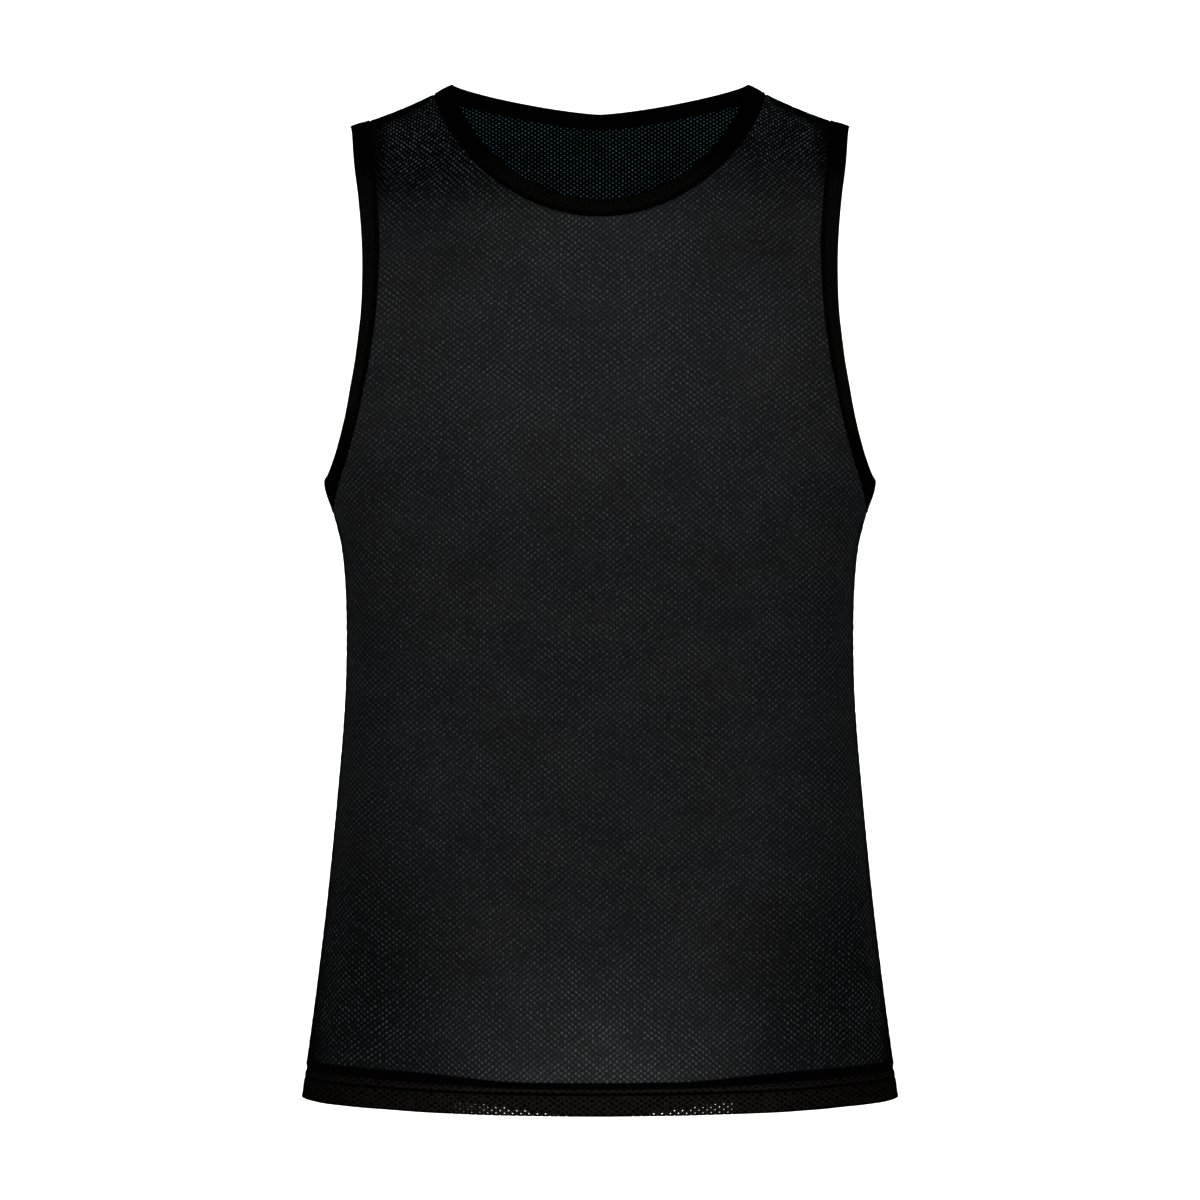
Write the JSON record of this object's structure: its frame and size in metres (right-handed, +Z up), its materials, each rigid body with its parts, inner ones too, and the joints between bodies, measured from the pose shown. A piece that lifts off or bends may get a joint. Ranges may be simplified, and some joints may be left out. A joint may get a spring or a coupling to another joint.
{
  "type": "training bib",
  "caption": "Sleeveless training bib in micro mesh with a scoop neck and bound neck and armholes, filled out and hollow, open at neck, arms and hem.",
  "frame": {"origin": "between the two shoulder straps, level with the middle of each, where the wearer's shoulders carry the bib", "axes": "+Z up from the hem to the shoulders, -Y out of the front of the bib, +X towards the viewer's right, which is the wearer's left"},
  "size_m": [0.418, 0.2419, 0.7087],
  "materials": {
    "micro_mesh": "matt black knitted micro mesh with a fine staggered relief",
    "binding_knit": "matt black plain knit, folded double and stitched"
  },
  "bodies": {
    "root": {"front_panel": "micro_mesh", "back_panel": "micro_mesh", "neck_binding": "binding_knit", "armhole_binding_right": "binding_knit", "armhole_binding_left": "binding_knit"}
  },
  "joints": []
}
